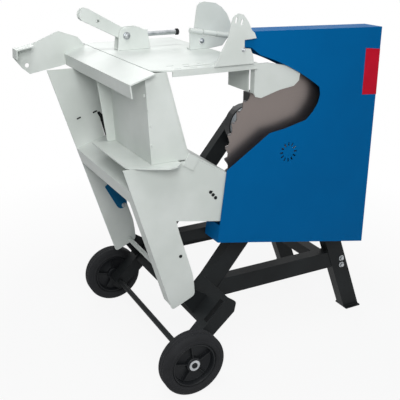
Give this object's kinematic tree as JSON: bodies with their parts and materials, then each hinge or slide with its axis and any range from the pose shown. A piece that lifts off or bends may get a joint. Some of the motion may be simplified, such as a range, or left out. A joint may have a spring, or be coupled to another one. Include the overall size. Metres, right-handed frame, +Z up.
{
  "type": "firewood circular saw",
  "caption": "Wheeled frame saw for firewood: a round toothed blade in a tall sheet guard, and a folded sheet cradle with a slotted top plate that tilts the log into it.",
  "frame": {"origin": "on the floor, under the middle of the saw's bounding box", "axes": "+X from the wheels toward the blade guard and the two feet, +Y from the open front of the cradle toward the motor side, +Z up"},
  "size_m": [1.0734, 0.697, 1.082],
  "materials": {
    "black_paint": "satin",
    "white_paint": "semi-gloss",
    "blue_paint": "semi-gloss",
    "navy_paint": "semi-gloss",
    "tyre": "matte",
    "rubber": "matte",
    "black_plastic": "matte",
    "motor_grey": "satin",
    "zinc": "satin",
    "blade_steel": "brushed",
    "green_plastic": "gloss",
    "red_plastic": "gloss"
  },
  "bodies": {
    "base": {"front_beam": "black_paint", "front_diagonal": "black_paint", "front_leg": "black_paint", "front_rest_arm": "black_paint", "back_beam": "black_paint", "back_diagonal": "black_paint", "back_leg": "black_paint", "back_rest_arm": "black_paint", "left_cross_tube": "black_paint", "right_cross_tube": "black_paint", "front_wheel_bracket": "black_paint", "back_wheel_bracket": "black_paint", "axle": "black_paint", "front_hub_washer": "zinc", "back_hub_washer": "zinc", "front_pivot_lug": "black_paint", "back_pivot_lug": "black_paint", "pivot_shaft": "zinc", "guard_front_panel": "blue_paint", "guard_rim": "blue_paint", "guard_back_panel": "blue_paint", "motor_plate": "black_paint", "bearing_housing": "motor_grey", "motor_body": "motor_grey", "motor_fan_cover": "black_plastic", "switch_box": "black_plastic", "power_inlet": "black_plastic"},
    "blade": {"saw_blade": "blade_steel", "outer_blade_flange": "zinc", "inner_blade_flange": "zinc", "arbor_nut": "zinc", "arbor_shaft": "zinc"},
    "front_wheel": {"front_tyre": "tyre", "front_rim": "black_plastic"},
    "back_wheel": {"back_tyre": "tyre", "back_rim": "black_plastic"},
    "start_push": {"start_button": "green_plastic"},
    "stop_push": {"stop_button": "red_plastic"},
    "cradle": {"cradle_front_leg": "white_paint", "cradle_front_cheek": "white_paint", "cradle_back_plate": "white_paint", "cross_channel": "white_paint", "front_lip": "white_paint", "outer_wall": "white_paint", "trough_sheet": "white_paint", "top_beam": "white_paint", "top_plate": "white_paint", "hood_arm": "white_paint", "hood_wall": "white_paint", "handle_bracket": "white_paint", "blue_brace": "navy_paint", "slotted_arm": "white_paint", "stop_bracket": "white_paint", "clamp_bracket": "white_paint", "clamp_pin": "zinc"},
    "flap": {"stop_flap": "white_paint"},
    "lever": {"clamp_lever": "white_paint"},
    "push_rod": {"clamp_rod": "zinc", "clamp_rod_tip": "rubber"}
  },
  "joints": [
    {"name": "cradle_tilt", "type": "hinge", "parent": "base", "child": "cradle", "pos_m": [-0.20342, 0, 0.262], "axis": [0, 1, 0], "range_deg": [0, 18]},
    {"name": "blade_spin", "type": "hinge", "parent": "base", "child": "blade", "pos_m": [0.18558, -0.1935, 0.665], "axis": [0, 1, 0], "continuous": true},
    {"name": "front_wheel_spin", "type": "hinge", "parent": "base", "child": "front_wheel", "pos_m": [-0.24142, -0.3225, 0.1], "axis": [0, 1, 0], "continuous": true},
    {"name": "back_wheel_spin", "type": "hinge", "parent": "base", "child": "back_wheel", "pos_m": [-0.24142, 0.3225, 0.1], "axis": [0, 1, 0], "continuous": true},
    {"name": "start_button_press", "type": "slide", "parent": "base", "child": "start_push", "axis": [-1, 0, 0], "range_m": [0, 0.004], "stiffness_N_per_m": 400},
    {"name": "stop_button_press", "type": "slide", "parent": "base", "child": "stop_push", "axis": [-1, 0, 0], "range_m": [0, 0.004], "stiffness_N_per_m": 400},
    {"name": "stop_flap_fold", "type": "hinge", "parent": "cradle", "child": "flap", "pos_m": [-0.05342, 0.0535, 0.999], "axis": [-0.9857, 0, 0.1685], "range_deg": [0, 90]},
    {"name": "clamp_lever_turn", "type": "hinge", "parent": "cradle", "child": "lever", "pos_m": [-0.22642, 0.1515, 0.984], "axis": [0, 1, 0], "range_deg": [0, 60]},
    {"name": "clamp_rod_slide", "type": "slide", "parent": "cradle", "child": "push_rod", "axis": [1, 0, 0], "range_m": [-0.004, 0]}
  ],
  "couplings": [
    {"joint": "clamp_rod_slide", "follows": "clamp_lever_turn", "m_per_rad": -0.0038}
  ]
}
